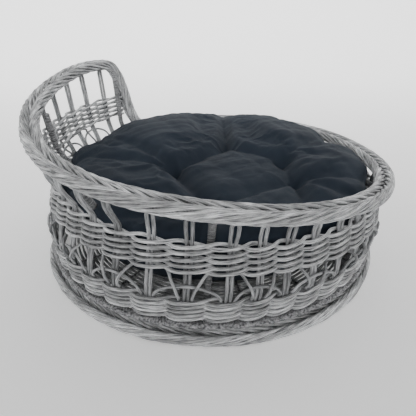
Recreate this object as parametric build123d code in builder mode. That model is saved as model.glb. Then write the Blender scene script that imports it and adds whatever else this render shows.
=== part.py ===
"""Round willow pet bed: a woven basket with a raised headrest, and a loose tufted cushion.

Millimetres, +Z up. The origin is the centre of the ring that the basket stands on, -Y is the
front, and the headrest rises on the left and back (azimuth 137 to 200 degrees, from +X to +Y).
"""
import os
from math import cos, pi, radians, sin, tan

from build123d import *

os.makedirs("parts", exist_ok=True)

# ---------------------------------------------------------------- driving dimensions
ROD = 4.2                 # willow rod that stakes and weavers are made of
THIN_ROD = 3.0            # rod bent into the arches
GAP = 0.5                 # clearance between a stake and the weavers beside it
WEAVER_OFFSET = ROD + GAP     # from the middle of the wall to the middle of a weaver
STAKE_SPREAD = 2.6        # half the distance between the two legs of a stake
LEAN = 0.06               # the hand-woven wall leans this much towards +X as it rises

# middle of the wall: radius at each height, below the upper edge of the middle weave
WALL_FOOT = (229.0, 11.0)
WALL_LOW = (233.2, 32.0)
WALL_WIDE = (236.0, 57.0)
WALL_WAIST = (235.3, 72.0)
WAIST_TAPER = 0.217       # radius lost per millimetre of height above the waist
RIM_RADIUS = 233.9        # of the rim where it is lowest
RIM_LOW = 126.0
RIM_FLARE = 0.15          # radius gained per millimetre of height, rim and headrest
SHOULDER_RISE = 7.0       # the wall starts to flare this far above the highest middle row
TALL_RISE = 36.0          # a stake taller than this above its shoulder has one more bend
TALL_BEND_RISE = 24.0     # height of that bend above the shoulder
SHOULDER_BEND = 5.0       # longest stretch of a stake that a bend takes up on either side
BEND_SHARE = 0.45         # of the shorter run at a corner that its bend may take up
FREE_BEND = 1000.0        # no limit on a bend other than BEND_SHARE

# lower and middle weave, five rows each; the middle weave climbs towards the left front
ROWS = 5
LOWER_ROW_BOTTOM = 30.4
LOWER_ROW_PITCH = 6.1
MIDDLE_ROW_BOTTOM = 85.6
MIDDLE_ROW_PITCH = 6.4
MIDDLE_SLOPE = 0.04
MIDDLE_HIGH_AZIMUTH = 215.0

# headrest weave
HEADREST_START = 138.4
HEADREST_END = 190.0
HEADREST_ROW_BOTTOM = 142.0
HEADREST_ROW_PITCH = 7.0
HEADREST_ROW_CLIMB = 0.30     # millimetres of climb per degree towards the high end
HEADREST_LEVEL_AZIMUTH = 182.0
HEADREST_RUN_POINTS = 10

# foot and base
FOOT_ROD = 10.0
FOOT_OUTER_RADIUS = 244.5
FOOT_INNER_RADIUS = 234.3
FOOT_HEIGHT = 4.6         # less than half the rod, which is worn flat where it stands
FOOT_UPPER_HEIGHT = 13.8
BASE_HOOP_RADIUS = 238.6
BASE_HOOP_HEIGHT = 23.6
HOOP_CORE = 6.8
WRAP_THICKNESS = 1.0
BASE_STICK = 4.0
BASE_HEIGHT = 18.0
BASE_STICK_LENGTH = 223.0
BASE_WEAVE_THICKNESS = 3.2
BASE_WEAVE_EDGES = (46.0, 104.0, 162.0, 220.0)
SLATH_HALF = 26.0         # half the length of the crossed bundle in the middle of the base
SLATH_PITCH = 5.0
SLATH_OPENING = 42.0      # radius where the rays reach the middle height of the base
SLATH_STEP = 2.3          # the two bundles cross this far above and below the base's middle
STICKS_EACH_WAY = 4

# border along the rim: a hoop with three rods plaited round it
RIM_HOOP = 6.0
BORDER_ROD = 9.0
BORDER_SIDE = 8.0
BORDER_TOP = 5.8
BORDER_DROP = -1.5
HOOP_DROP = -2.0
LOOP_DROP = -7.4          # the stakes' loops hang this far below the middle of the border
BORDER_START = 100.2
BORDER_TURN = 359.6

# (azimuth, height) of the middle of the border, once round from the back
RIM_OUTLINE = (
    (100.2, 126), (120, 126), (131.5, 128), (136.4, 236), (147, 238), (156, 234),
    (165, 226), (175, 217), (185, 208), (195, 199), (205, 190), (215, 183),
    (226, 177), (240, 171), (255, 166), (270, 160), (285, 152), (300, 145),
    (315, 138), (330, 131), (345, 127), (360, 125), (380, 125), (400, 126),
    (420, 126), (440, 126), (459.8, 126),
)

# arches in the two open bands
ARCH_GAP = 0.6
ARCH_OUT = ROD / 2 + THIN_ROD / 2 + ARCH_GAP
ARCH_START = 1.9          # degrees past the stake it stands beside
ARCH_STEPS = 8
ARCH_SQUARENESS = 0.7     # below 1 the legs stand steeper and the top is flatter
TALL_ARCH_DROP = 1.5      # below the middle weave
LOW_ARCH_DROP = 11.0

# frame posts, each wrapped in cane, inside the wall
POST_CORE = 6.6
POST_OFFSET = -12.3
POST_BOTTOM = 26.0
POST_TOP_DROP = -9.5
POST_AZIMUTHS = (139.8, 187.0, 230.0, 268.2, 319.0, 10.0, 75.0)

# cushion
CUSHION_RADIUS = 203.0
CUSHION_BOTTOM = 24.2
CUSHION_TOP = 148.0
CUSHION_LOWER_ROUND = 50.0
CUSHION_UPPER_ROUND = 68.0
CUSHION_SHIFT = 6.0
COVER_THICKNESS = 1.5
COVER_GAP = 0.3
TUFT_HOLE = 6.0
TUFT_TIE = 3.0
TIE_LENGTH = 110.0
TUFTS = ((-44, -66), (24, 5), (92, -37), (100, -93), (0, -158))


# ---------------------------------------------------------------- shape of the wall
def evenly(first, last, count):
    """Equal steps from first to last."""
    return [first + (last - first) * step / (count - 1) for step in range(count)]


STAKES = {
    "stakes_headrest": evenly(144.4, 181.0, 5),
    "stakes_left": evenly(190.0, 234.0, 6),
    "stakes_front": [243.0, 252.9, 262.8, 273.3, 281.0, 288.3, 296.0, 305.4],
    "stakes_right": evenly(314.2, 394.0, 10),
    "stakes_back": evenly(402.7, 490.4, 11),
}
STAKE_AZIMUTHS = [azimuth for group in STAKES.values() for azimuth in group]


def interpolate(table, value):
    """Straight-line reading of a table of (value, reading) pairs."""
    for (start, low), (end, high) in zip(table, table[1:]):
        if start <= value <= end:
            return low + (high - low) * (value - start) / (end - start)
    raise ValueError(f"{value} is outside the table")


def rim_height(azimuth):
    """Height of the middle of the border."""
    turned = (azimuth - BORDER_START) % 360 + BORDER_START
    return interpolate(RIM_OUTLINE, min(turned, BORDER_START + BORDER_TURN))


def rim_radius(height):
    return RIM_RADIUS + RIM_FLARE * (height - RIM_LOW)


def waist_radius(height):
    """Radius of the wall's middle in the middle weave, which narrows as it rises."""
    return WALL_WAIST[0] - WAIST_TAPER * (height - WALL_WAIST[1])


def lower_radius(height):
    """Radius of the wall's middle below the upper edge of the middle weave."""
    if height > WALL_WAIST[1]:
        return waist_radius(height)
    profile = [(z, r) for r, z in (WALL_FOOT, WALL_LOW, WALL_WIDE, WALL_WAIST)]
    return interpolate(profile, height)


def middle_row_height(row, azimuth):
    """Height of a middle weave row, which lies in a slightly tilted plane."""
    level = MIDDLE_ROW_BOTTOM + MIDDLE_ROW_PITCH * row
    climb = MIDDLE_SLOPE * waist_radius(level)
    return level + climb * cos(radians(azimuth - MIDDLE_HIGH_AZIMUTH))


def headrest_row_height(row, azimuth):
    climb = HEADREST_ROW_CLIMB * (HEADREST_LEVEL_AZIMUTH - azimuth)
    return HEADREST_ROW_BOTTOM + HEADREST_ROW_PITCH * row + climb


def wall_point(azimuth, radius, height, along=0.0):
    """A point at an azimuth and radius, moved sideways by along, with the wall's lean."""
    angle = radians(azimuth)
    return Vector(
        LEAN * height + radius * cos(angle) - along * sin(angle),
        radius * sin(angle) + along * cos(angle),
        height,
    )


def wall_profile(azimuth, out=0.0):
    """(radius, height) along a stake, from the foot up to the loops under the border."""
    shoulder = middle_row_height(ROWS - 1, azimuth) + SHOULDER_RISE
    top = rim_height(azimuth) + LOOP_DROP
    profile = [WALL_FOOT, WALL_LOW, WALL_WIDE, WALL_WAIST]
    profile.append((waist_radius(shoulder), shoulder))
    if top > shoulder + TALL_RISE:
        bend = shoulder + TALL_BEND_RISE
        profile.append((rim_radius(bend), bend))
    profile.append((rim_radius(top), top))
    return [(radius + out, height) for radius, height in profile]


def wall_radius(azimuth, height):
    """Radius of the wall's middle at any height."""
    return interpolate([(z, r) for r, z in wall_profile(azimuth)], height)


# ---------------------------------------------------------------- rods
def bends(points, longest):
    """Radii that use a share of the shorter run at each corner, but no more than longest."""
    radii = []
    for before, corner, after in zip(points, points[1:], points[2:]):
        arriving = corner - before
        leaving = after - corner
        turn = radians(max(arriving.get_angle(leaving), 0.05))
        reach = min(BEND_SHARE * arriving.length, BEND_SHARE * leaving.length, longest)
        radii.append(reach / tan(turn / 2))
    return radii


def bent_rod(points, diameter, longest=FREE_BEND):
    """Add one rod that follows the points, with each corner rounded, to the current part."""
    with BuildLine():
        route = FilletPolyline(*points, radius=bends(points, longest))
    with BuildSketch(Plane(origin=route @ 0, z_dir=route % 0)) as section:
        Circle(diameter / 2)
    sweep(section.sketch, path=route)


def ring_pair(name, level, radius, slope, shift):
    """One weave row: a ring of weaver outside the stakes and one inside them."""
    high = radians(MIDDLE_HIGH_AZIMUTH)
    middle = (LEAN * level - shift * cos(high), -shift * sin(high), level)
    tilted = Plane(origin=middle, z_dir=(-slope * cos(high), -slope * sin(high), 1))
    with BuildPart(tilted) as row:
        Torus(radius + WEAVER_OFFSET, ROD / 2)
        Torus(radius - WEAVER_OFFSET, ROD / 2)
    write(row.part, name)


def write(part, name):
    part.label = name
    export_step(part, f"parts/{name}.step")


# ---------------------------------------------------------------- base and foot
def base_stick(azimuth, offset, step, crosswise):
    """A stick through the crossed bundle in the middle, opened out to a ray at each end."""
    ray = Vector(cos(radians(azimuth)), sin(radians(azimuth)))
    bundle = [Vector(-SLATH_HALF, offset, step), Vector(SLATH_HALF, offset, step)]
    tail = BASE_STICK_LENGTH * ray
    half = SLATH_OPENING * ray
    flat = [
        Vector(-tail.X, tail.Y), Vector(-half.X, half.Y), *bundle,
        Vector(half.X, half.Y), Vector(tail.X, tail.Y),
    ]
    if crosswise:
        flat = [Vector(point.Y, point.X, point.Z) for point in flat]
    return [point + Vector(0, 0, BASE_HEIGHT) for point in flat]


for name, step, crosswise in (
    ("base_sticks_side_to_side", -SLATH_STEP, False),
    ("base_sticks_front_to_back", SLATH_STEP, True),
):
    with BuildPart() as sticks:
        for place in range(STICKS_EACH_WAY):
            order = place - (STICKS_EACH_WAY - 1) / 2
            azimuth = 90.0 / STICKS_EACH_WAY * order
            bent_rod(base_stick(azimuth, SLATH_PITCH * order, step, crosswise), BASE_STICK)
    write(sticks.part, name)

for name, inner, outer in zip(
    ("base_weave_inner", "base_weave_middle", "base_weave_outer"),
    BASE_WEAVE_EDGES,
    BASE_WEAVE_EDGES[1:],
):
    clear = BASE_STICK / 2 + BASE_WEAVE_THICKNESS / 2 + GAP
    with BuildPart() as panel:
        for side in (-1, 1):
            with BuildSketch(Plane.XY.offset(BASE_HEIGHT + side * clear - BASE_WEAVE_THICKNESS / 2)):
                Circle(outer - GAP)
                Circle(inner + GAP, mode=Mode.SUBTRACT)
            extrude(amount=BASE_WEAVE_THICKNESS)
    write(panel.part, name)

hoop_middle = Vector(LEAN * BASE_HOOP_HEIGHT, 0, BASE_HOOP_HEIGHT)
with BuildPart(Plane(origin=hoop_middle)) as base_hoop:
    Torus(BASE_HOOP_RADIUS, HOOP_CORE / 2)
write(base_hoop.part, "base_hoop")

with BuildPart() as base_hoop_wrapping:
    with BuildSketch(Plane(origin=hoop_middle, x_dir=(1, 0, 0), z_dir=(0, -1, 0))):
        with Locations((BASE_HOOP_RADIUS, 0)):
            Circle(HOOP_CORE / 2 + WRAP_THICKNESS)
            Circle(HOOP_CORE / 2, mode=Mode.SUBTRACT)
    revolve(axis=Axis(hoop_middle, (0, 0, 1)))
write(base_hoop_wrapping.part, "base_hoop_wrapping")

for name, radius in (
    ("foot_border_strand_outer", FOOT_OUTER_RADIUS),
    ("foot_border_strand_inner", FOOT_INNER_RADIUS),
):
    with BuildPart() as strand:
        with Locations((0, 0, FOOT_HEIGHT)):
            Torus(radius, FOOT_ROD / 2)
        split(bisect_by=Plane.XY)
    write(strand.part, name)

with BuildPart() as foot_border_strand_upper:
    with Locations((0, 0, FOOT_UPPER_HEIGHT)):
        Torus((FOOT_OUTER_RADIUS + FOOT_INNER_RADIUS) / 2, FOOT_ROD / 2)
write(foot_border_strand_upper.part, "foot_border_strand_upper")

# ---------------------------------------------------------------- stakes and posts
for name, azimuths in STAKES.items():
    with BuildPart() as stakes:
        for azimuth in azimuths:
            side = wall_profile(azimuth)
            up = [wall_point(azimuth, r, z, -STAKE_SPREAD) for r, z in side]
            down = [wall_point(azimuth, r, z, STAKE_SPREAD) for r, z in reversed(side)]
            bent_rod(up + down, ROD, SHOULDER_BEND)
    write(stakes.part, name)


def post_run(azimuth):
    """The route of a frame post, from the base to the underside of the border."""
    side = wall_profile(azimuth, POST_OFFSET)[1:-1]
    top = rim_height(azimuth) + POST_TOP_DROP
    foot = (side[0][0], POST_BOTTOM)
    head = (rim_radius(top) + POST_OFFSET, top)
    return [wall_point(azimuth, r, z) for r, z in (foot, *side[1:], head)]


with BuildPart() as frame_posts:
    for azimuth in POST_AZIMUTHS:
        bent_rod(post_run(azimuth), POST_CORE, SHOULDER_BEND)
write(frame_posts.part, "frame_posts")

with BuildPart() as frame_post_wrappings:
    for azimuth in POST_AZIMUTHS:
        bent_rod(post_run(azimuth), POST_CORE + 2 * WRAP_THICKNESS, SHOULDER_BEND)
    add(frame_posts.part, mode=Mode.SUBTRACT)
write(frame_post_wrappings.part, "frame_post_wrappings")

# ---------------------------------------------------------------- weave rows
for row in range(ROWS):
    level = LOWER_ROW_BOTTOM + LOWER_ROW_PITCH * row
    ring_pair(f"lower_weave_row_{row + 1}", level, lower_radius(level), 0.0, 0.0)

for row in range(ROWS):
    level = MIDDLE_ROW_BOTTOM + MIDDLE_ROW_PITCH * row
    radius = waist_radius(level)
    shift = WAIST_TAPER * MIDDLE_SLOPE * radius
    ring_pair(f"middle_weave_row_{row + 1}", level, radius, MIDDLE_SLOPE, shift)

for row in range(ROWS):
    with BuildPart() as headrest_row:
        for side in (-WEAVER_OFFSET, WEAVER_OFFSET):
            run = []
            for azimuth in evenly(HEADREST_START, HEADREST_END, HEADREST_RUN_POINTS):
                height = headrest_row_height(row, azimuth)
                run.append(wall_point(azimuth, wall_radius(azimuth, height) + side, height))
            bent_rod(run, ROD)
    write(headrest_row.part, f"headrest_weave_row_{row + 1}")


# ---------------------------------------------------------------- arches
def arch(start, end, bottom, top, out):
    """A thin rod bent into an arch between two azimuths, on one face of the wall."""
    run = []
    for step in range(ARCH_STEPS + 1):
        angle = pi * step / ARCH_STEPS
        azimuth = (start + end) / 2 - (end - start) / 2 * cos(angle)
        height = bottom
        if 0 < step < ARCH_STEPS:
            height += (top - bottom) * sin(angle) ** ARCH_SQUARENESS
        run.append(wall_point(azimuth, wall_radius(azimuth, height) + out, height))
    bent_rod(run, THIN_ROD)


WINDOW_BOTTOM = LOWER_ROW_BOTTOM + LOWER_ROW_PITCH * (ROWS - 1) + ROD / 2 + THIN_ROD / 2
count = len(STAKE_AZIMUTHS)
first = 0
for name, azimuths in STAKES.items():
    with BuildPart() as arches:
        for index in range(first, first + len(azimuths)):
            start = STAKE_AZIMUTHS[index] + ARCH_START
            end = STAKE_AZIMUTHS[(index + 2) % count] - ARCH_START
            end += 360 if end < start else 0
            ceiling = middle_row_height(0, (start + end) / 2) - ROD / 2 - THIN_ROD / 2
            top = ceiling - (TALL_ARCH_DROP if index % 2 else LOW_ARCH_DROP)
            out = -ARCH_OUT if index % 2 else ARCH_OUT
            arch(start, end, WINDOW_BOTTOM + ARCH_GAP, top, out)
    write(arches.part, name.replace("stakes", "window_arches"))
    first += len(azimuths)

with BuildPart() as headrest_arches:
    for index, (left, right) in enumerate(zip(STAKE_AZIMUTHS, STAKE_AZIMUTHS[2:6])):
        start = left + ARCH_START
        end = right - ARCH_START
        bottom = middle_row_height(ROWS - 1, end) + ROD / 2 + THIN_ROD / 2 + ARCH_GAP
        top = headrest_row_height(0, end) - ROD / 2 - THIN_ROD / 2 - ARCH_GAP
        arch(start, end, bottom, top, ARCH_OUT if index % 2 else -ARCH_OUT)
write(headrest_arches.part, "headrest_arches")


# ---------------------------------------------------------------- rim
def border_run(out, up):
    """Route beside the middle of the border: out from the wall's axis and up off its path."""
    middle = []
    outward = []
    for azimuth, height in RIM_OUTLINE:
        middle.append(wall_point(azimuth, rim_radius(height), height))
        outward.append(Vector(cos(radians(azimuth)), sin(radians(azimuth))))
    run = []
    steps = [(after - before).normalized() for before, after in zip(middle, middle[1:])]
    for index, (point, radial) in enumerate(zip(middle, outward)):
        arriving = steps[max(index - 1, 0)]
        leaving = steps[min(index, len(steps) - 1)]
        first_normal = radial.cross(arriving).normalized()
        mitre = radial.cross(arriving + leaving).normalized()
        run.append(point + radial * out + mitre * (up / mitre.dot(first_normal)))
    return run


for name, out, up, diameter in (
    ("rim_hoop", 0.0, HOOP_DROP, RIM_HOOP),
    ("rim_border_strand_outer", BORDER_SIDE, BORDER_DROP, BORDER_ROD),
    ("rim_border_strand_inner", -BORDER_SIDE, BORDER_DROP, BORDER_ROD),
    ("rim_border_strand_top", 0.0, BORDER_TOP, BORDER_ROD),
):
    with BuildPart() as border:
        bent_rod(border_run(out, up), diameter)
    write(border.part, name)


# ---------------------------------------------------------------- cushion
def cushion_outline(inset, mode=Mode.ADD):
    """Half section of the cushion, smaller all round by inset, in the current sketch."""
    bottom = CUSHION_BOTTOM + inset
    side = CUSHION_RADIUS - inset
    top = CUSHION_TOP - inset
    with BuildLine() as outline:
        FilletPolyline(
            (0, bottom), (side, bottom), (side, top), (0, top),
            radius=[CUSHION_LOWER_ROUND - inset, CUSHION_UPPER_ROUND - inset],
        )
        Line((0, top), (0, bottom))
    make_face(outline.edges(), mode=mode)


middle_of_cushion = Plane(origin=(CUSHION_SHIFT, 0, 0), x_dir=(1, 0, 0), z_dir=(0, -1, 0))
cushion_axis = Axis((CUSHION_SHIFT, 0, 0), (0, 0, 1))

with BuildPart() as cushion_cover:
    with BuildSketch(middle_of_cushion):
        cushion_outline(0.0)
        cushion_outline(COVER_THICKNESS, Mode.SUBTRACT)
    revolve(axis=cushion_axis)
write(cushion_cover.part, "cushion_cover")

FILLING_INSET = COVER_THICKNESS + COVER_GAP
with BuildPart() as cushion_filling:
    with BuildSketch(middle_of_cushion):
        cushion_outline(FILLING_INSET)
    revolve(axis=cushion_axis)
    with BuildSketch(Plane.XY):
        with Locations(*TUFTS):
            Circle(TUFT_HOLE / 2)
    extrude(amount=2 * CUSHION_RADIUS, mode=Mode.SUBTRACT)
write(cushion_filling.part, "cushion_filling")

with BuildPart() as cushion_tuft_ties:
    with BuildSketch(Plane.XY.offset(CUSHION_BOTTOM + FILLING_INSET)):
        with Locations(*TUFTS):
            Circle(TUFT_TIE / 2)
    extrude(amount=TIE_LENGTH)
write(cushion_tuft_ties.part, "cushion_tuft_ties")
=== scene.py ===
"""Looks of the round willow pet bed: woven strands, plaited borders, wrapped posts and cushion."""
from math import cos, pi, radians, sin

import bpy
import numpy as np
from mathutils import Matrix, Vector


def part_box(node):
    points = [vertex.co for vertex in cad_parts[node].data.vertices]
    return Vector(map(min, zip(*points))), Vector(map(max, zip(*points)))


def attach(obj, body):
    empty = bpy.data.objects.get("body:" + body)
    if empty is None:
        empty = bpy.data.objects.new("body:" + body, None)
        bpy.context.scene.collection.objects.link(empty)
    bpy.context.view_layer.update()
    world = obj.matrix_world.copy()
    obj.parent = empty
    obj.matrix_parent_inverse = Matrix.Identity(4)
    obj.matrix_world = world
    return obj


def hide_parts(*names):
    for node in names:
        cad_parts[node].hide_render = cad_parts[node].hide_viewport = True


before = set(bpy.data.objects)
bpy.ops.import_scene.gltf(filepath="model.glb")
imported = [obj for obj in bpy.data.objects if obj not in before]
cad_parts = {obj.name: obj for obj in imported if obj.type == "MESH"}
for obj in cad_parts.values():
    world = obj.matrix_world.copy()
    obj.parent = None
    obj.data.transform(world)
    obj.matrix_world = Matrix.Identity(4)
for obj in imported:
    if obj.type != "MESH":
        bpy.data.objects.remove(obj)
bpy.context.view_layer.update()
MM = 0.001
rng = np.random.default_rng(7)

# ------------------------------------------------------------------ the wall, in millimetres and degrees
ROD = 4.2
THIN_ROD = 3.0
STAKE_SPREAD = 2.25       # half the distance between the two legs of a stake
LEAN = 0.06               # the wall moves to the right by this share of its height
WALL = ((11.0, 229.0), (32.0, 233.2), (57.0, 236.0), (72.0, 235.3))
WAIST_TAPER = 0.217
RIM_RADIUS, RIM_LOW, RIM_FLARE = 233.9, 126.0, 0.15
ROWS = 5
LOWER_ROW_BOTTOM, LOWER_ROW_PITCH = 30.4, 6.1
MIDDLE_ROW_BOTTOM, MIDDLE_ROW_PITCH = 85.6, 6.4
MIDDLE_SLOPE, MIDDLE_HIGH_AZIMUTH = 0.04, 215.0
HEADREST_ROW_BOTTOM, HEADREST_ROW_PITCH, HEADREST_ROW_CLIMB = 142.0, 7.0, 0.30
HEADREST_LEVEL_AZIMUTH = 182.0
LOOP_DROP = -7.4          # from the middle of the border to the loops of the stakes
SHOULDER = len(WALL)      # the point of a profile where the narrow part of the wall ends
SHOULDER_RISE = 7.0       # from the top row of the middle weave to the shoulder
TALL_RISE = 36.0          # a wall that goes on this far above its shoulder bends once more
TALL_BEND_RISE = 24.0
RIM_OUTLINE = (
    (100.2, 126), (120, 126), (131.5, 128), (136.4, 236), (147, 238), (156, 234),
    (165, 226), (175, 217), (185, 208), (195, 199), (205, 190), (215, 183),
    (226, 177), (240, 171), (255, 166), (270, 160), (285, 152), (300, 145),
    (315, 138), (330, 131), (345, 127), (360, 125), (380, 125), (400, 126),
    (420, 126), (440, 126), (460.2, 126),
)
POST_AZIMUTHS = (139.8, 187.0, 230.0, 268.2, 319.0, 10.0, 75.0)
STAKES = {
    "stakes_headrest": np.linspace(144.4, 181.0, 5),
    "stakes_left": np.linspace(190.0, 234.0, 6),
    "stakes_front": np.array([243.0, 252.9, 262.8, 273.3, 281.0, 288.3, 296.0, 305.4]),
    "stakes_right": np.linspace(314.2, 394.0, 10),
    "stakes_back": np.linspace(402.7, 490.4, 11),
}
STAKE_AZIMUTHS = np.concatenate(list(STAKES.values()))
COUNT = len(STAKE_AZIMUTHS)


def stake_azimuth(number):
    """Azimuth at a whole or part number of stakes from the first, continuing round the wall."""
    known = np.concatenate([STAKE_AZIMUTHS - 360, STAKE_AZIMUTHS, STAKE_AZIMUTHS + 360])
    return np.interp(number, np.arange(-COUNT, 2 * COUNT), known)


def rim_height(azimuth):
    outline = np.array(RIM_OUTLINE)
    start = outline[0, 0]
    return np.interp((azimuth - start) % 360 + start, outline[:, 0], outline[:, 1])


def rim_radius(height):
    return RIM_RADIUS + RIM_FLARE * (height - RIM_LOW)


def waist_radius(height):
    return WALL[3][1] - WAIST_TAPER * (height - WALL[3][0])


def middle_row_height(row, azimuth):
    level = MIDDLE_ROW_BOTTOM + MIDDLE_ROW_PITCH * row
    turn = np.radians(azimuth - MIDDLE_HIGH_AZIMUTH)
    return level + MIDDLE_SLOPE * waist_radius(level) * np.cos(turn)


def headrest_row_height(row, azimuth):
    level = HEADREST_ROW_BOTTOM + HEADREST_ROW_PITCH * row
    return level + HEADREST_ROW_CLIMB * (HEADREST_LEVEL_AZIMUTH - azimuth)


def profile(azimuth):
    """Heights and radii of the wall's middle along one stake."""
    shoulder = middle_row_height(ROWS - 1, azimuth) + SHOULDER_RISE
    top = rim_height(azimuth) + LOOP_DROP
    points = [*WALL, (shoulder, waist_radius(shoulder))]
    if top > shoulder + TALL_RISE:
        bend = shoulder + TALL_BEND_RISE
        points.append((bend, rim_radius(bend)))
    points.append((top, rim_radius(top)))
    return np.array(points)


def wall_radius(azimuth, height):
    """Radius of the wall's middle, for matching arrays of azimuths and heights."""
    azimuth, height = np.broadcast_arrays(np.asarray(azimuth, float), np.asarray(height, float))
    found = [np.interp(h, *profile(a).T) for a, h in zip(azimuth.ravel(), height.ravel())]
    return np.array(found).reshape(azimuth.shape)


def place(azimuth, radius, height, along=0.0):
    """Points in metres from azimuth, radius and height in millimetres, and their outward ways."""
    azimuth, radius, height, along = np.broadcast_arrays(azimuth, radius, height, along)
    c, s = np.cos(np.radians(azimuth)), np.sin(np.radians(azimuth))
    points = np.stack([LEAN * height + radius * c - along * s, radius * s + along * c, height], -1)
    return points * MM, np.stack([c, s, np.zeros_like(c)], -1)


WANDER_PARTS = (1.0, 0.55, 0.31)      # height and length of each wave, as shares of the longest
WANDER_HEIGHT = 1.4                   # about the height of the waves together


def wander(values, size, wave):
    """A smooth seeded wander of about the given size, along values with the given wavelength."""
    total = np.zeros_like(values, dtype=float)
    for part in WANDER_PARTS:
        total += part * np.sin(2 * pi * values / (wave * part) + rng.uniform(0, 2 * pi))
    return size * total / WANDER_HEIGHT


# ------------------------------------------------------------------ strands
LAST_STEP = 0.002         # metres of grain given to the step that closes a ring


class Strands:
    """Collects rods as tubes and makes one mesh of them."""

    def __init__(self, sides=8):
        self.sides = sides
        self.verts, self.quads, self.uvs, self.tones, self.caps = [], [], [], [], []
        self.size = 0

    def add(self, points, outward, radius, closed=False, flat=1.0):
        """One rod along points in metres, flattened across its outward way by flat."""
        count = len(points)
        if closed:
            along = np.roll(points, -1, 0) - np.roll(points, 1, 0)
        else:
            along = np.gradient(points, axis=0)
        along /= np.linalg.norm(along, axis=1, keepdims=True)
        normal = outward - (outward * along).sum(1, keepdims=True) * along
        normal /= np.linalg.norm(normal, axis=1, keepdims=True)
        side = np.cross(along, normal)
        turn = np.linspace(0, 2 * pi, self.sides, endpoint=False)
        reach = np.broadcast_to(np.asarray(radius, float), (count,))[:, None, None] * MM
        ring = np.cos(turn)[None, :, None] * normal[:, None] * flat
        ring = ring + np.sin(turn)[None, :, None] * side[:, None]
        self.verts.append((points[:, None] + reach * ring).reshape(-1, 3))
        steps = np.arange(count if closed else count - 1)
        after = (steps + 1) % count
        near = np.arange(self.sides)
        far = (near + 1) % self.sides
        quads = np.stack([
            steps[:, None] * self.sides + near, steps[:, None] * self.sides + far,
            after[:, None] * self.sides + far, after[:, None] * self.sides + near,
        ], -1).reshape(-1, 4)
        self.quads.append(quads[:, ::-1] + self.size)
        length = np.concatenate([[0], np.linalg.norm(np.diff(points, axis=0), axis=1).cumsum()])
        length = np.append(length, length[-1] + LAST_STEP) + rng.uniform(0, 5)
        u = near / self.sides
        corners = [(u, 0), (u + 1 / self.sides, 0), (u + 1 / self.sides, 1), (u, 1)]
        shape = (len(steps), self.sides)
        uv = np.stack([
            np.stack([np.broadcast_to(a, shape), np.broadcast_to(length[steps + b][:, None], shape)], -1)
            for a, b in corners
        ], 2).reshape(-1, 4, 2)
        self.uvs.append(uv[:, ::-1])
        self.tones.append(np.full(count * self.sides, rng.uniform(0, 1)))
        if not closed:
            last = self.size + (count - 1) * self.sides
            self.caps.append([self.size + n for n in range(self.sides)])
            self.caps.append([last + n for n in reversed(range(self.sides))])
        self.size += count * self.sides

    def make(self, name, material, nodes):
        """One visible piece of the basket from all the rods, in place of the given nodes."""
        quads = np.concatenate(self.quads)
        mesh = bpy.data.meshes.new(name)
        mesh.from_pydata(np.concatenate(self.verts).tolist(), [], quads.tolist() + self.caps)
        layer = mesh.uv_layers.new(name="strand")
        flat = np.concatenate(self.uvs).reshape(-1, 2)
        rest = np.zeros((len(mesh.loops) - len(flat), 2))
        layer.data.foreach_set("uv", np.concatenate([flat, rest]).ravel())
        tone = mesh.attributes.new("tone", "FLOAT", "POINT")
        tone.data.foreach_set("value", np.concatenate(self.tones))
        mesh.polygons.foreach_set("use_smooth", [True] * len(quads) + [False] * len(self.caps))
        piece = bpy.data.objects.new(name, mesh)
        bpy.context.scene.collection.objects.link(piece)
        dress(piece, material, "basket", nodes)


def dress(piece, material, body, nodes):
    """Material, body and replaced nodes of one visible piece."""
    piece.data.materials.append(material)
    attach(piece, body)
    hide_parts(*nodes)


# ------------------------------------------------------------------ materials
class Nodes:
    """Short way to write a node tree."""

    def __init__(self, name):
        self.material = bpy.data.materials.new(name)
        self.material.use_nodes = True
        self.tree = self.material.node_tree
        self.shader = self.tree.nodes["Principled BSDF"]

    def node(self, kind, inputs=(), **settings):
        made = self.tree.nodes.new(kind)
        for key, value in settings.items():
            setattr(made, key, value)
        for key, value in dict(inputs).items():
            self.put(made.inputs[key], value)
        return made

    def put(self, socket, value):
        if isinstance(value, bpy.types.NodeSocket):
            self.tree.links.new(value, socket)
        else:
            socket.default_value = value

    def ramp(self, value, *stops):
        made = self.node("ShaderNodeValToRGB", {"Fac": value})
        while len(made.color_ramp.elements) < len(stops):
            made.color_ramp.elements.new(0.5)
        for element, (position, shade) in zip(made.color_ramp.elements, stops):
            element.position = position
            element.color = (*shade, 1) if isinstance(shade, tuple) else (shade, shade, shade, 1)
        return made.outputs["Color"]

    def mix(self, kind, factor, first, second):
        made = self.node("ShaderNodeMix", data_type="RGBA", blend_type=kind)
        self.put(made.inputs["Factor"], factor)
        self.put(made.inputs["A"], first)
        self.put(made.inputs["B"], second)
        return made.outputs["Result"]

    def bump(self, height, strength, distance):
        inputs = {"Height": height, "Strength": strength, "Distance": distance}
        return self.node("ShaderNodeBump", inputs).outputs["Normal"]


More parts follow.
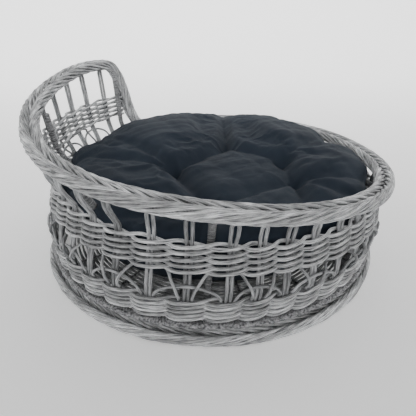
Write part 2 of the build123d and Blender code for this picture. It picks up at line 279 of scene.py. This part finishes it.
def willow(name, light, dark, streak=1.0):
    """Grey-washed willow: streaks along the rod, bark showing through, a tone for each rod."""
    m = Nodes(name)
    uv = m.node("ShaderNodeUVMap", uv_map="strand").outputs["UV"]
    stretched = m.node("ShaderNodeMapping", {"Vector": uv, "Scale": (9.0, 26.0, 1.0)}).outputs["Vector"]
    streaks = {"Vector": stretched, "Scale": 2.2, "Detail": 5.0, "Roughness": 0.65}
    grain = m.node("ShaderNodeTexNoise", streaks).outputs["Fac"]
    where = m.node("ShaderNodeTexCoord").outputs["Object"]
    patches = m.node("ShaderNodeTexNoise", {"Vector": where, "Scale": 55.0, "Detail": 3.0})
    tone = m.node("ShaderNodeAttribute", attribute_name="tone").outputs["Fac"]
    between = tuple(0.55 * a + 0.45 * b for a, b in zip(dark, light))
    wash = m.ramp(grain, (0.365, dark), (0.47, between), (0.58, light))
    worn = m.ramp(patches.outputs["Fac"], (0.36, 0.72), (0.62, 1.12))
    colour = m.mix("MULTIPLY", 0.85, wash, worn)
    shade = m.ramp(tone, (0.0, 0.62), (0.5, 0.95), (1.0, 1.25))
    colour = m.mix("MULTIPLY", 1.0, colour, shade)
    m.put(m.shader.inputs["Base Color"], colour)
    m.put(m.shader.inputs["Roughness"], m.ramp(grain, (0.3, 0.72), (0.7, 0.5)))
    m.put(m.shader.inputs["Normal"], m.bump(grain, 0.5 * streak, 0.0006))
    m.shader.inputs["Specular IOR Level"].default_value = 0.35
    return m.material


LIGHT = (0.70, 0.71, 0.72)
DARK = (0.028, 0.029, 0.032)
WEAVER = willow("grey_willow", LIGHT, DARK)
STAKE = willow("grey_willow_stakes", (0.46, 0.47, 0.48), (0.03, 0.03, 0.033))
BORDER = willow("grey_willow_border", (0.78, 0.79, 0.80), DARK)
# painted shade: the cane's colour is kept darker than the willow's to stand for the shade it lies in,
# recessed behind the weave and inside the wall
SHADED_CANE = willow("grey_cane_painted_shade", (0.34, 0.345, 0.35), (0.03, 0.03, 0.034), 0.5)


def plain_willow(name):
    """Willow for rods with no strand map, with the grain taken from their place."""
    m = Nodes(name)
    where = m.node("ShaderNodeTexCoord").outputs["Object"]
    speckle = {"Vector": where, "Scale": 420.0, "Detail": 4.0}
    grain = m.node("ShaderNodeTexNoise", speckle).outputs["Fac"]
    m.put(m.shader.inputs["Base Color"], m.ramp(grain, (0.35, DARK), (0.65, (0.36, 0.36, 0.37))))
    m.put(m.shader.inputs["Roughness"], m.ramp(grain, (0.3, 0.75), (0.7, 0.55)))
    m.put(m.shader.inputs["Normal"], m.bump(grain, 0.4, 0.0005))
    return m.material


PLAIN = plain_willow("grey_willow_plain")
SHOWN_AS_IN_CAD = (
    "base_sticks_side_to_side", "base_sticks_front_to_back", "base_hoop", "frame_posts", "rim_hoop",
)
for node in SHOWN_AS_IN_CAD:
    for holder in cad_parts[node].material_slots:
        holder.material = PLAIN

# ------------------------------------------------------------------ woven rows
PER_BAY = 10              # points of a weaver from one stake to the next
STRAND_OUT = 4.35         # how far a weaver stands out where it passes a stake
STRAND_RISE = 1.95        # how far the pair part upwards and downwards between stakes
HOLD = 1.5                # the higher, the longer a weaver stays on one side
SAG, SAGS = 0.4, 7        # height of a row's slow rise and fall, and how many times round
THINNING, THINNINGS = 0.05, 5
HEADREST_SPAN = (-0.62, 5.0, 70)      # the headrest rows: first and last stake, and points


def swap_sides(angle):
    """From 1 to -1 and back, staying near each for a while."""
    return np.tanh(HOLD * np.cos(angle)) / np.tanh(HOLD)


def pairing_row(name, height_at, places, closed, phase):
    """Two weavers that swap sides between stakes, the one coming out passing over the other."""
    strands = Strands()
    share = 2 * pi * places / COUNT
    for swap in (0.0, pi):
        angle = pi * places + phase + swap
        azimuth = stake_azimuth(places)
        height = height_at(azimuth) + SAG * np.sin(share * SAGS + rng.uniform(0, 6))
        out = STRAND_OUT * swap_sides(angle)
        rise = STRAND_RISE * np.sin(angle)
        points, outward = place(azimuth, wall_radius(azimuth, height) + out, height + rise)
        thickness = 1 - THINNING + THINNING * np.sin(share * THINNINGS + rng.uniform(0, 6))
        strands.add(points, outward, ROD / 2 * thickness, closed)
    strands.make(name, WEAVER, nodes=(name.replace("weavers", "weave"),))


around = np.arange(COUNT * PER_BAY) / PER_BAY
across = np.linspace(*HEADREST_SPAN)
for row in range(ROWS):
    level = LOWER_ROW_BOTTOM + LOWER_ROW_PITCH * row
    number = row + 1
    turned = pi * (row % 2)
    pairing_row(f"lower_weavers_row_{number}", lambda a, h=level: np.full_like(a, h), around, True, 0.0)
    pairing_row(f"middle_weavers_row_{number}", lambda a, r=row: middle_row_height(r, a), around, True, 0.0)
    pairing_row(
        f"headrest_weavers_row_{number}", lambda a, r=row: headrest_row_height(r, a), across, False, turned
    )


# ------------------------------------------------------------------ stakes
def smooth(points):
    """Corner cutting that keeps both ends."""
    first = 0.75 * points[:-1] + 0.25 * points[1:]
    second = 0.25 * points[:-1] + 0.75 * points[1:]
    middle = np.stack([first, second], 1).reshape(-1, 3)
    return np.concatenate([points[:1], middle, points[-1:]])


LOOP_SPREAD = 3.3         # half the width of the loop under the rim
LOOP_RISE = 4.5           # height of the round end of the loop
LOOP_HANG = 8.5           # how far the loops of the low wall hang under the border
LOOP_CLEAR = 1.5          # they still end at least this far above the shoulder
NUB_IN, NUB_UP = 4.0, 3.0             # where the stub over a hanging loop meets the border
NUB_DIP = 0.5             # how far the stub starts inside the loop
NUB_POINTS = 6
STRAIGHT_LEAN = 0.12      # the stakes of the low wall lean out this much above the shoulder
LEG_POINTS, LOOP_POINTS = 26, 9


def hairpin(strands, azimuth):
    """One rod bent double: up beside itself, over a small loop and down again."""
    side = profile(azimuth)
    top = side[-1, 0]
    shoulder, waist = side[SHOULDER]
    if top < shoulder + TALL_RISE:
        rim = place(azimuth, side[-1, 1] - NUB_IN, top + NUB_UP)[0]
        top = max(top - LOOP_HANG, shoulder + LOOP_CLEAR)
        under = waist + STRAIGHT_LEAN * (top - shoulder)
        nub, facing = place(azimuth, under, top - NUB_DIP)
        way = np.linspace(0, 1, NUB_POINTS)[:, None]
        stub = smooth(nub + (rim - nub) * way)
        strands.add(stub, np.repeat(facing[None], len(stub), 0), ROD / 2 * 0.8)
        side = np.array([*side[:SHOULDER + 1], (top, under)])
    heights = np.linspace(side[0, 0], top - LOOP_RISE - 0.5, LEG_POINTS)
    radii = np.interp(heights, side[:, 0], side[:, 1])
    loop = np.linspace(pi, 0, LOOP_POINTS)
    opened = np.clip((heights - shoulder + 10) / max(top - shoulder - 4, 12), 0, 1) ** 0.8
    reach = LOOP_SPREAD + rng.uniform(-0.5, 0.8)
    spread = STAKE_SPREAD + (reach - STAKE_SPREAD) * opened * rng.uniform(0.6, 1.0)
    lean = rng.uniform(-1.2, 1.2)
    left = -spread + wander(heights, 0.2, 90) + lean * opened
    right = spread + wander(heights, 0.2, 90) + lean * opened
    over = top - LOOP_RISE + LOOP_RISE * np.sin(loop)
    along = np.concatenate([left, lean + spread[-1] * np.cos(loop), right[::-1]])
    height = np.concatenate([heights, over, heights[::-1]])
    radius = np.concatenate([radii, np.full(LOOP_POINTS, radii[-1]), radii[::-1]])
    points, outward = place(azimuth + rng.uniform(-0.2, 0.2), radius, height, along)
    points = smooth(points)
    strands.add(points, np.repeat(outward[:1], len(points), 0), ROD / 2 * 0.96)


for name, azimuths in STAKES.items():
    group = Strands()
    for azimuth in azimuths:
        hairpin(group, azimuth)
    group.make(name.replace("stakes", "willow_stakes"), STAKE, nodes=(name,))


# ------------------------------------------------------------------ arches
ARCH_ASIDE = 1.7          # degrees from a stake to the leg of the arch beside it
LOW_ARCH_OUT = 3.9
TALL_ARCH_OUT = 6.8
TALL_ARCH_TUCK = 10.5     # how far the head of a tall arch goes in behind the weave
TUCK_START, TUCK_RUN = 0.62, 0.3      # where it starts and how long it takes, as shares of the rise
TUCK_RISE = 3.0           # how far its head goes up behind the weave
LOW_ARCH_SHARE = 0.60     # height of a low arch as a share of the window
LOW_HEADREST_DROP = 9.0   # how far the low arches of the headrest stop under its weave
ARCH_POINTS = 31


def arch(strands, start, end, bottom, top, tall):
    """A thin rod from beside one stake up and over to beside the next but one."""
    angle = np.linspace(0, pi, ARCH_POINTS)
    azimuth = (start + end) / 2 - (end - start) / 2 * np.cos(angle)
    share = np.sin(angle) ** 0.8
    height = bottom + (top - bottom) * share
    out = (TALL_ARCH_OUT if tall else LOW_ARCH_OUT) * np.clip(share * 3, 0, 1)
    if tall:
        tuck = np.clip((share - TUCK_START) / TUCK_RUN, 0, 1)
        out -= TALL_ARCH_TUCK * tuck * tuck * (3 - 2 * tuck)
    points, outward = place(azimuth, wall_radius(azimuth, height) + out, height)
    strands.add(points, outward, THIN_ROD / 2 * 1.08)


WINDOW_BOTTOM = LOWER_ROW_BOTTOM + LOWER_ROW_PITCH * (ROWS - 1) + 1.0
first = 0
for name, azimuths in STAKES.items():
    group = Strands()
    for index in range(first, first + len(azimuths)):
        start, end = stake_azimuth(index) + ARCH_ASIDE, stake_azimuth(index + 2) - ARCH_ASIDE
        ceiling = middle_row_height(0, (start + end) / 2) - ROD / 2
        low = WINDOW_BOTTOM + LOW_ARCH_SHARE * (ceiling - WINDOW_BOTTOM)
        arch(group, start, end, WINDOW_BOTTOM, ceiling + TUCK_RISE if index % 2 else low, index % 2)
    replaced = name.replace("stakes", "window_arches")
    group.make(name.replace("stakes", "willow_arches"), STAKE, nodes=(replaced,))
    first += len(azimuths)

group = Strands()
for index in range(4):
    start, end = stake_azimuth(index) + ARCH_ASIDE, stake_azimuth(index + 2) - ARCH_ASIDE
    bottom = middle_row_height(ROWS - 1, end) + 2.0
    ceiling = headrest_row_height(0, (start + end) / 2) - ROD / 2
    top = ceiling + TUCK_RISE if index % 2 else ceiling - LOW_HEADREST_DROP
    arch(group, start, end, bottom, top, index % 2)
group.make("willow_headrest_arches", STAKE, nodes=("headrest_arches",))


# ------------------------------------------------------------------ plaited borders
RIM_POINTS, FOOT_POINTS = 900, 800
RIM_ROUNDS = 3            # rounds of corner cutting that smooth the rim's outline
RIM_LIFT = 0.6
FOOT_RADIUS, FOOT_HEIGHT = 239.4, 7.5
PLAITS, RODS, LAG = 6, 5, 0.41        # times round the plait, rods in a ribbon, turn between its rods
PLAIT_DRIFT, PLAIT_DRIFTS = 0.05, 5
PLAIT_FLAT = 0.9


def rim_centre():
    """Smooth closed line in metres through the rim's outline, evenly spaced."""
    azimuth, height = np.array(RIM_OUTLINE[:-1], float).T
    points, _ = place(azimuth, rim_radius(height), height)
    for _ in range(RIM_ROUNDS):
        first = 0.75 * points + 0.25 * np.roll(points, -1, 0)
        second = 0.25 * points + 0.75 * np.roll(points, -1, 0)
        points = np.stack([first, second], 1).reshape(-1, 3)
    loop = np.concatenate([points, points[:1]])
    length = np.concatenate([[0], np.linalg.norm(np.diff(loop, axis=0), axis=1).cumsum()])
    even = np.linspace(0, length[-1], RIM_POINTS + 1)[:-1]
    line = np.stack([np.interp(even, length, loop[:, k]) for k in range(3)], -1)
    return line + np.array([0, 0, RIM_LIFT]) * MM


def foot_centre():
    """Closed ring in metres through the middle of the foot border."""
    turn = np.linspace(0, 2 * pi, FOOT_POINTS + 1)[:-1]
    height = np.full_like(turn, FOOT_HEIGHT)
    return np.stack([FOOT_RADIUS * np.cos(turn), FOOT_RADIUS * np.sin(turn), height], -1) * MM


def plait(names, nodes, centre, half_width, half_height, rod):
    """Three ribbons of rods plaited round a closed line, one piece for each ribbon."""
    along = np.roll(centre, -1, 0) - np.roll(centre, 1, 0)
    along /= np.linalg.norm(along, axis=1, keepdims=True)
    radial = centre - centre.mean(0)
    radial[:, 2] = 0
    radial -= (radial * along).sum(1, keepdims=True) * along
    radial /= np.linalg.norm(radial, axis=1, keepdims=True)
    up = np.cross(radial, along)
    share = np.arange(len(centre)) / len(centre)
    for ribbon, (name, node) in enumerate(zip(names, nodes)):
        group = Strands(7)
        for number in range(RODS):
            lag = (number - (RODS - 1) / 2) * LAG
            angle = 2 * pi * (PLAITS * share + ribbon / 3) + lag
            drift = PLAIT_DRIFT * np.sin(2 * pi * PLAIT_DRIFTS * share + rng.uniform(0, 6))
            side = half_width * (1 + drift) * np.sin(angle)
            lift = -half_height * np.sin(2 * angle)
            points = centre + (radial * side[:, None] + up * lift[:, None]) * MM
            group.add(points, up, rod / 2, closed=True, flat=PLAIT_FLAT)
        group.make(name, BORDER, nodes=(node,))


plait(
    ("rim_plait_first", "rim_plait_second", "rim_plait_third"),
    ("rim_border_strand_outer", "rim_border_strand_inner", "rim_border_strand_top"),
    rim_centre(), half_width=9.6, half_height=5.8, rod=4.3,
)
plait(
    ("foot_plait_first", "foot_plait_second", "foot_plait_third"),
    ("foot_border_strand_outer", "foot_border_strand_inner", "foot_border_strand_upper"),
    foot_centre(), half_width=7.8, half_height=5.2, rod=4.0,
)


# ------------------------------------------------------------------ cane wrapping
STEPS_PER_TURN = 9
CANE_WIDTH, CANE_FLAT = 0.52, 0.45    # half the cane's width as a share of the pitch, and its flatness
HOOP_CANE_RADIUS, HOOP_CANE_PITCH = 3.6, 3.4
HOOP_CANE_IN = 6.4        # from the outside of the CAD hoop to the middle of the wrapped one
POST_CANE_RADIUS, POST_CANE_PITCH = 3.5, 3.2
POST_IN = 12.3            # from the middle of the wall to a post
POST_FOOT, POST_DROP, POST_POINTS = 26.5, 10.0, 60


def wrapped(strands, line, outward, radius, pitch, closed):
    """Cane wound round a rod: a helix along the line."""
    length = np.linalg.norm(np.diff(line, axis=0), axis=1).sum() / MM
    turns = int(length / pitch)
    where = np.linspace(0, len(line) - 1, turns * STEPS_PER_TURN)
    if closed:
        where = where[:-1]
    centre = np.stack([np.interp(where, np.arange(len(line)), line[:, k]) for k in range(3)], -1)
    first = np.stack([np.interp(where, np.arange(len(line)), outward[:, k]) for k in range(3)], -1)
    along = np.gradient(centre, axis=0)
    along /= np.linalg.norm(along, axis=1, keepdims=True)
    first -= (first * along).sum(1, keepdims=True) * along
    first /= np.linalg.norm(first, axis=1, keepdims=True)
    second = np.cross(along, first)
    angle = where / (len(line) - 1) * turns * 2 * pi
    away = first * np.cos(angle)[:, None] + second * np.sin(angle)[:, None]
    strands.add(centre + away * radius * MM, away, pitch * CANE_WIDTH, closed, CANE_FLAT)


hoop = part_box("base_hoop")
hoop_height = (hoop[0][2] + hoop[1][2]) / 2 / MM
hoop_radius = (hoop[1][1] - hoop[0][1]) / 2 / MM - HOOP_CANE_IN
line, outward = place(np.linspace(0, 360, 361), hoop_radius, hoop_height)
group = Strands(5)
wrapped(group, line, outward, HOOP_CANE_RADIUS, HOOP_CANE_PITCH, True)
group.make("base_hoop_cane", SHADED_CANE, nodes=("base_hoop_wrapping",))

group = Strands(5)
for azimuth in POST_AZIMUTHS:
    side = profile(azimuth)
    height = np.linspace(POST_FOOT, rim_height(azimuth) - POST_DROP, POST_POINTS)
    radius = np.interp(height, side[:, 0], side[:, 1]) - POST_IN
    line, outward = place(azimuth, radius, height)
    wrapped(group, line, outward, POST_CANE_RADIUS, POST_CANE_PITCH, False)
group.make("frame_post_cane", SHADED_CANE, nodes=("frame_post_wrappings",))

# ------------------------------------------------------------------ base
RAYS, STEPS_PER_RAY = 16, 8
BASE_HEIGHT, BASE_PITCH = 18.0, 5.4
BASE_LIFT, BASE_SIDE = 3.3, 1.3       # how far a base weaver goes up and down and from side to side
BASE_ROD = 3.1
turn = np.arange(RAYS * STEPS_PER_RAY) / STEPS_PER_RAY
for name, inner, outer in (("inner", 48, 102), ("middle", 106, 160), ("outer", 164, 217)):
    group = Strands(6)
    for number, radius in enumerate(np.arange(inner, outer + 1, BASE_PITCH)):
        for swap in (0, pi):
            angle = pi * turn + pi * number + swap
            height = BASE_HEIGHT + BASE_LIFT * swap_sides(angle)
            points, _ = place(turn * 360 / RAYS, radius + BASE_SIDE * np.sin(angle), height)
            points[:, 0] -= LEAN * BASE_HEIGHT * MM
            outward = np.repeat([[0.0, 0.0, 1.0]], len(points), 0)
            group.add(points, outward, BASE_ROD / 2, closed=True)
    group.make(f"base_weavers_{name}", WEAVER, nodes=(f"base_weave_{name}",))


# ------------------------------------------------------------------ cushion
def slate_cotton():
    """Plain woven cotton: fine threads in bump and colour, with broad soft variation."""
    m = Nodes("slate_cotton")
    where = m.node("ShaderNodeTexCoord").outputs["Object"]
    warp = m.node("ShaderNodeTexWave", {"Vector": where, "Scale": 620.0}, bands_direction="X")
    weft = m.node("ShaderNodeTexWave", {"Vector": where, "Scale": 620.0}, bands_direction="Y")
    cloth = m.mix("MULTIPLY", 1.0, warp.outputs["Color"], weft.outputs["Color"])
    broad = m.node("ShaderNodeTexNoise", {"Vector": where, "Scale": 9.0, "Detail": 4.0})
    base = m.ramp(broad.outputs["Fac"], (0.3, (0.0105, 0.0165, 0.0265)), (0.7, (0.0165, 0.0250, 0.0375)))
    m.put(m.shader.inputs["Base Color"], m.mix("ADD", 0.006, base, cloth))
    m.put(m.shader.inputs["Normal"], m.bump(cloth, 0.35, 0.0004))
    m.shader.inputs["Roughness"].default_value = 0.85
    m.shader.inputs["Sheen Weight"].default_value = 0.02
    m.shader.inputs["Sheen Roughness"].default_value = 0.6
    m.shader.inputs["Specular IOR Level"].default_value = 0.2
    return m.material


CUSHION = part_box("cushion_cover")
LOW = CUSHION[0][2] / MM
HALF = (CUSHION[1][0] - CUSHION[0][0]) / 2 / MM
SHIFT = (CUSHION[1][0] + CUSHION[0][0]) / 2 / MM
TOP = 160.0
RADIUS = HALF + 7.0
SPREAD = 0.075            # the pad is wider by this share above the narrow part of the wall
SPREAD_START, SPREAD_RISE = 92.0, 36.0
BACK_RISE = 0.042         # the top climbs this much per millimetre towards the back
TUFTS = np.array([(-44, -66), (24, 5), (92, -37), (100, -93), (0, -158)], float)
TUFT_DEPTH, TUFT_WIDTH, TUFT_SHAPE = 44.0, 19, 1.1
MIDDLE_DROP, MIDDLE_REACH = 15.0, 75  # the puff between the tufts stands lower than the rest
LINK_WIDTH, CREASE_SHAPE = 17, 1.25
LINK_EASE = 0.35          # a crease between two tufts is shallower by this share in its middle
CREASE_LENGTH, CREASE_FADE = 260, 330
CREASE_WIDTH, CREASE_OPENING = 15, 0.04
CREASES = (               # tuft it starts from, azimuth it runs along, depth
    (1, 90, 34), (0, 162, 20), (0, 134, 18), (2, 48, 15), (3, -34, 16), (3, 10, 18), (3, -88, 24),
    (4, -105, 24), (4, 160, 15),
)
LINKS = ((0, 1, 24), (1, 2, 20), (2, 3, 30), (3, 4, 20), (4, 0, 30))      # two tufts and a depth
ROUND = 3.0               # how square the section of the pad is above its middle
FLAT = 0.55               # the lower half is squarer
MIDDLE_LIFT = 6           # the widest part stands this far above half height
DRAWN_IN = 0.42           # share of a crease's depth by which it draws the edge in
SIDES = 250               # points round the pad
BOTTOM_BAND, TOP_BAND = 25, 40        # heights above the underside, for pinning and for ripples
PUFF_FRAMES, PUFF_LIMIT = 20, 14      # frames of cloth simulation, and the most it may move a point
RIPPLE = 0.7
EDGE_ROOM = 2.0           # how far past RADIUS the puffed edge may go


def segment_distance(point, start, end):
    """Distance of points from a segment, and how far along it they lie."""
    way = end - start
    t = np.clip(((point - start) @ way) / (way @ way), 0, 1)
    return np.linalg.norm(point - start - t[:, None] * way, axis=1), t


def held_down(x, y):
    """How far the top is pulled down by its tufts and creases, and how far the nearest tuft is."""
    point = np.stack([x, y], -1)
    held = np.zeros(len(x))
    for first, second, depth in LINKS:
        distance, t = segment_distance(point, TUFTS[first], TUFTS[second])
        eased = depth * (1 - LINK_EASE * np.sin(pi * t))
        held = np.maximum(held, eased * np.exp(-(distance / LINK_WIDTH) ** CREASE_SHAPE))
    for tuft, azimuth, depth in CREASES:
        way = np.array([cos(radians(azimuth)), sin(radians(azimuth))])
        distance, t = segment_distance(point, TUFTS[tuft], TUFTS[tuft] + way * CREASE_LENGTH)
        reach = t * CREASE_LENGTH
        fade = np.clip(1 - reach / CREASE_FADE, 0.25, 1)
        width = CREASE_WIDTH + CREASE_OPENING * reach
        held = np.maximum(held, depth * fade * np.exp(-(distance / width) ** CREASE_SHAPE))
    middle = np.linalg.norm(point - TUFTS.mean(0), axis=1)
    held = held + MIDDLE_DROP * np.clip(1.4 - middle / MIDDLE_REACH, 0, 1)
    nearest = np.min([np.linalg.norm(point - tuft, axis=1) for tuft in TUFTS], axis=0)
    return np.maximum(held, TUFT_DEPTH * np.exp(-(nearest / TUFT_WIDTH) ** TUFT_SHAPE)), nearest


def cushion_mesh():
    """A round pad: rings of points over the top, round the edge and under the bottom."""
    turn = np.linspace(0, 2 * pi, SIDES, endpoint=False)
    middle = (TOP + LOW) / 2 + MIDDLE_LIFT
    rings = []
    share = np.concatenate([np.linspace(0.004, 0.62, 62) ** 1.6, np.linspace(0.62 ** 1.6, 1, 34)[1:]])
    for part in share:
        angle = part * pi / 2
        radius, rise = sin(angle) ** (2 / ROUND), max(cos(angle), 0) ** (2 / ROUND)
        rings.append((RADIUS * radius, (TOP - middle) * rise, rise))
    for part in np.linspace(1, 0.05, 26)[1:]:
        angle = part * pi / 2
        radius, fall = sin(angle) ** FLAT, max(cos(angle), 0) ** FLAT
        rings.append((RADIUS * radius, (LOW - middle) * fall, 0.0))
    verts = []
    for radius, rise, part in rings:
        held, _ = held_down(SHIFT + radius * np.cos(turn), radius * np.sin(turn))
        drawn = 1 - DRAWN_IN * held * np.clip(radius / RADIUS - 0.55, 0, 1) / RADIUS
        x, y = SHIFT + radius * drawn * np.cos(turn), radius * drawn * np.sin(turn)
        verts.append(np.stack([x, y, middle + rise - held * part], -1))
    verts = np.concatenate(verts)
    last = (len(rings) - 1) * SIDES
    step = np.arange(len(rings) - 1)[:, None] * SIDES
    here, after = np.arange(SIDES), (np.arange(SIDES) + 1) % SIDES
    quads = np.stack([step + here, step + SIDES + here, step + SIDES + after, step + after], -1)
    caps = [list(range(SIDES)), [last + n for n in reversed(range(SIDES))]]
    mesh = bpy.data.meshes.new("tufted_cushion")
    mesh.from_pydata((verts * MM).tolist(), [], quads.reshape(-1, 4).tolist() + caps)
    return mesh, verts


def puff(piece, verts):
    """Blow the cover up by cloth simulation, held at its tufts, creases and flat bottom."""
    held, near = held_down(verts[:, 0], verts[:, 1])
    top = verts[:, 2] > LOW + BOTTOM_BAND
    weight = np.where(top, np.clip(1.5 * held / TUFT_DEPTH - 0.25, 0, 0.9), 1.0)
    weight = np.where(top & (near < 5), 1.0, weight)
    pins = piece.vertex_groups.new(name="held")
    for level in np.unique(np.round(weight, 2)):
        if level > 0:
            members = np.nonzero(np.round(weight, 2) == level)[0]
            pins.add([int(i) for i in members], float(level), "REPLACE")
    cloth = piece.modifiers.new("Cloth", "CLOTH")
    settings = cloth.settings
    settings.vertex_group_mass = "held"
    settings.quality = 5
    settings.mass = 0.25
    settings.tension_stiffness = 12
    settings.compression_stiffness = 8
    settings.bending_stiffness = 0.15
    settings.pin_stiffness = 0.6
    settings.use_pressure = True
    settings.uniform_pressure_force = 1.6
    settings.shrink_min = -0.012
    settings.effector_weights.gravity = 0
    cloth.collision_settings.use_collision = False
    scene = bpy.context.scene
    for number in range(1, PUFF_FRAMES + 1):
        scene.frame_set(number)
        bpy.context.view_layer.update()
    shaped = piece.evaluated_get(bpy.context.evaluated_depsgraph_get()).to_mesh()
    moved = np.empty(len(shaped.vertices) * 3)
    shaped.vertices.foreach_get("co", moved)
    moved = moved.reshape(-1, 3) / MM
    piece.modifiers.remove(cloth)
    piece.vertex_groups.clear()
    scene.frame_set(1)
    change = moved - verts
    size = np.linalg.norm(change, axis=1, keepdims=True)
    return verts + change * np.minimum(1, PUFF_LIMIT / np.maximum(size, 1e-6))


cushion_data, cushion_verts = cushion_mesh()
cushion = bpy.data.objects.new("tufted_cushion", cushion_data)
bpy.context.scene.collection.objects.link(cushion)
cushion_verts = puff(cushion, cushion_verts)
x, y, z = cushion_verts.T
ripple = wander(x + 0.6 * y, RIPPLE, 60)
ripple += wander(y - 0.4 * x, RIPPLE, 47)
z = z + np.where(z > LOW + TOP_BAND, ripple, 0)
limit = np.minimum(1, (RADIUS + EDGE_ROOM) / np.maximum(np.hypot(x - SHIFT, y), 1))
lifted = np.clip((z - SPREAD_START) / SPREAD_RISE, 0, 1)
x = SHIFT + (x - SHIFT) * limit * (1 + SPREAD * lifted)
y = y * limit * (1 + SPREAD * lifted)
z = np.maximum(z + BACK_RISE * y * lifted, LOW)
cushion_data.vertices.foreach_set("co", (np.stack([x, y, z], -1) * MM).ravel())
cushion_data.polygons.foreach_set("use_smooth", [True] * len(cushion_data.polygons))
cushion_data.update()
dress(
    cushion, slate_cotton(), "cushion",
    ("cushion_cover", "cushion_filling", "cushion_tuft_ties"),
)

# ------------------------------------------------------------------ stage, light and camera
floor_material = Nodes("pale_floor")
floor_material.shader.inputs["Base Color"].default_value = (0.92, 0.92, 0.92, 1)
floor_material.shader.inputs["Emission Color"].default_value = (1, 1, 1, 1)
floor_material.shader.inputs["Emission Strength"].default_value = 0.30
floor_material.shader.inputs["Roughness"].default_value = 0.95
FLOOR_REACH, CURVE, BACKDROP_TOP = 1.6, 1.2, 2.6        # metres; the floor curves up into a backdrop
FLOOR_DROP = 0.0003
SPOKES = 48
SWEEP = [(0.0, 0.0), (FLOOR_REACH, 0.0)]
for degrees in range(6, 91, 6):
    rise = radians(degrees)
    SWEEP.append((FLOOR_REACH + CURVE * sin(rise), CURVE - CURVE * cos(rise)))
SWEEP.append((FLOOR_REACH + CURVE, BACKDROP_TOP))
floor_verts, floor_faces = [], []
for reach, height in SWEEP:
    for spoke in range(SPOKES):
        turn = 2 * pi * spoke / SPOKES
        floor_verts.append((reach * cos(turn), reach * sin(turn), height - FLOOR_DROP))
for ring in range(len(SWEEP) - 1):
    for spoke in range(SPOKES):
        after = (spoke + 1) % SPOKES
        low, high = ring * SPOKES, (ring + 1) * SPOKES
        floor_faces.append((low + spoke, high + spoke, high + after, low + after))
floor_data = bpy.data.meshes.new("floor")
floor_data.from_pydata(floor_verts, [], floor_faces)
floor_data.polygons.foreach_set("use_smooth", [True] * len(floor_faces))
floor_data.materials.append(floor_material.material)
floor = bpy.data.objects.new("floor", floor_data)
bpy.context.scene.collection.objects.link(floor)

world = bpy.data.worlds.new("studio")
bpy.context.scene.world = world
world.use_nodes = True
world.node_tree.nodes["Background"].inputs["Color"].default_value = (1, 1, 1, 1)
world.node_tree.nodes["Background"].inputs["Strength"].default_value = 0.22


def sun(name, direction, energy, spread):
    """A sun that shines from a direction, its width in degrees."""
    data = bpy.data.lights.new(name, "SUN")
    data.energy = energy
    data.angle = radians(spread)
    made = bpy.data.objects.new(name, data)
    made.rotation_euler = Vector(direction).to_track_quat("Z", "Y").to_euler()
    bpy.context.scene.collection.objects.link(made)


sun("key", (0.05, -1.0, 0.80), 4.3, 14)
sun("top", (0.2, 0.25, 1.5), 0.45, 40)

ELEVATION = 30.4          # fitted to the outlines of the foot ring, the rim and the headrest
DISTANCE = 0.585
FOCAL = 350 / 416         # as a share of the picture's width
SENSOR = 36
AIM = (-0.003, 0.009)     # the point looked at, across and up
camera_data = bpy.data.cameras.new("camera")
camera_data.sensor_width = SENSOR
camera_data.lens = SENSOR * FOCAL
camera_data.shift_y = 0.040
camera_data.clip_start = 0.01
camera = bpy.data.objects.new("camera", camera_data)
tilt = radians(ELEVATION)
camera.location = (AIM[0], -DISTANCE * cos(tilt), AIM[1] + DISTANCE * sin(tilt))
camera.rotation_euler = (radians(90 - ELEVATION), 0, 0)
bpy.context.scene.collection.objects.link(camera)
bpy.context.scene.camera = camera
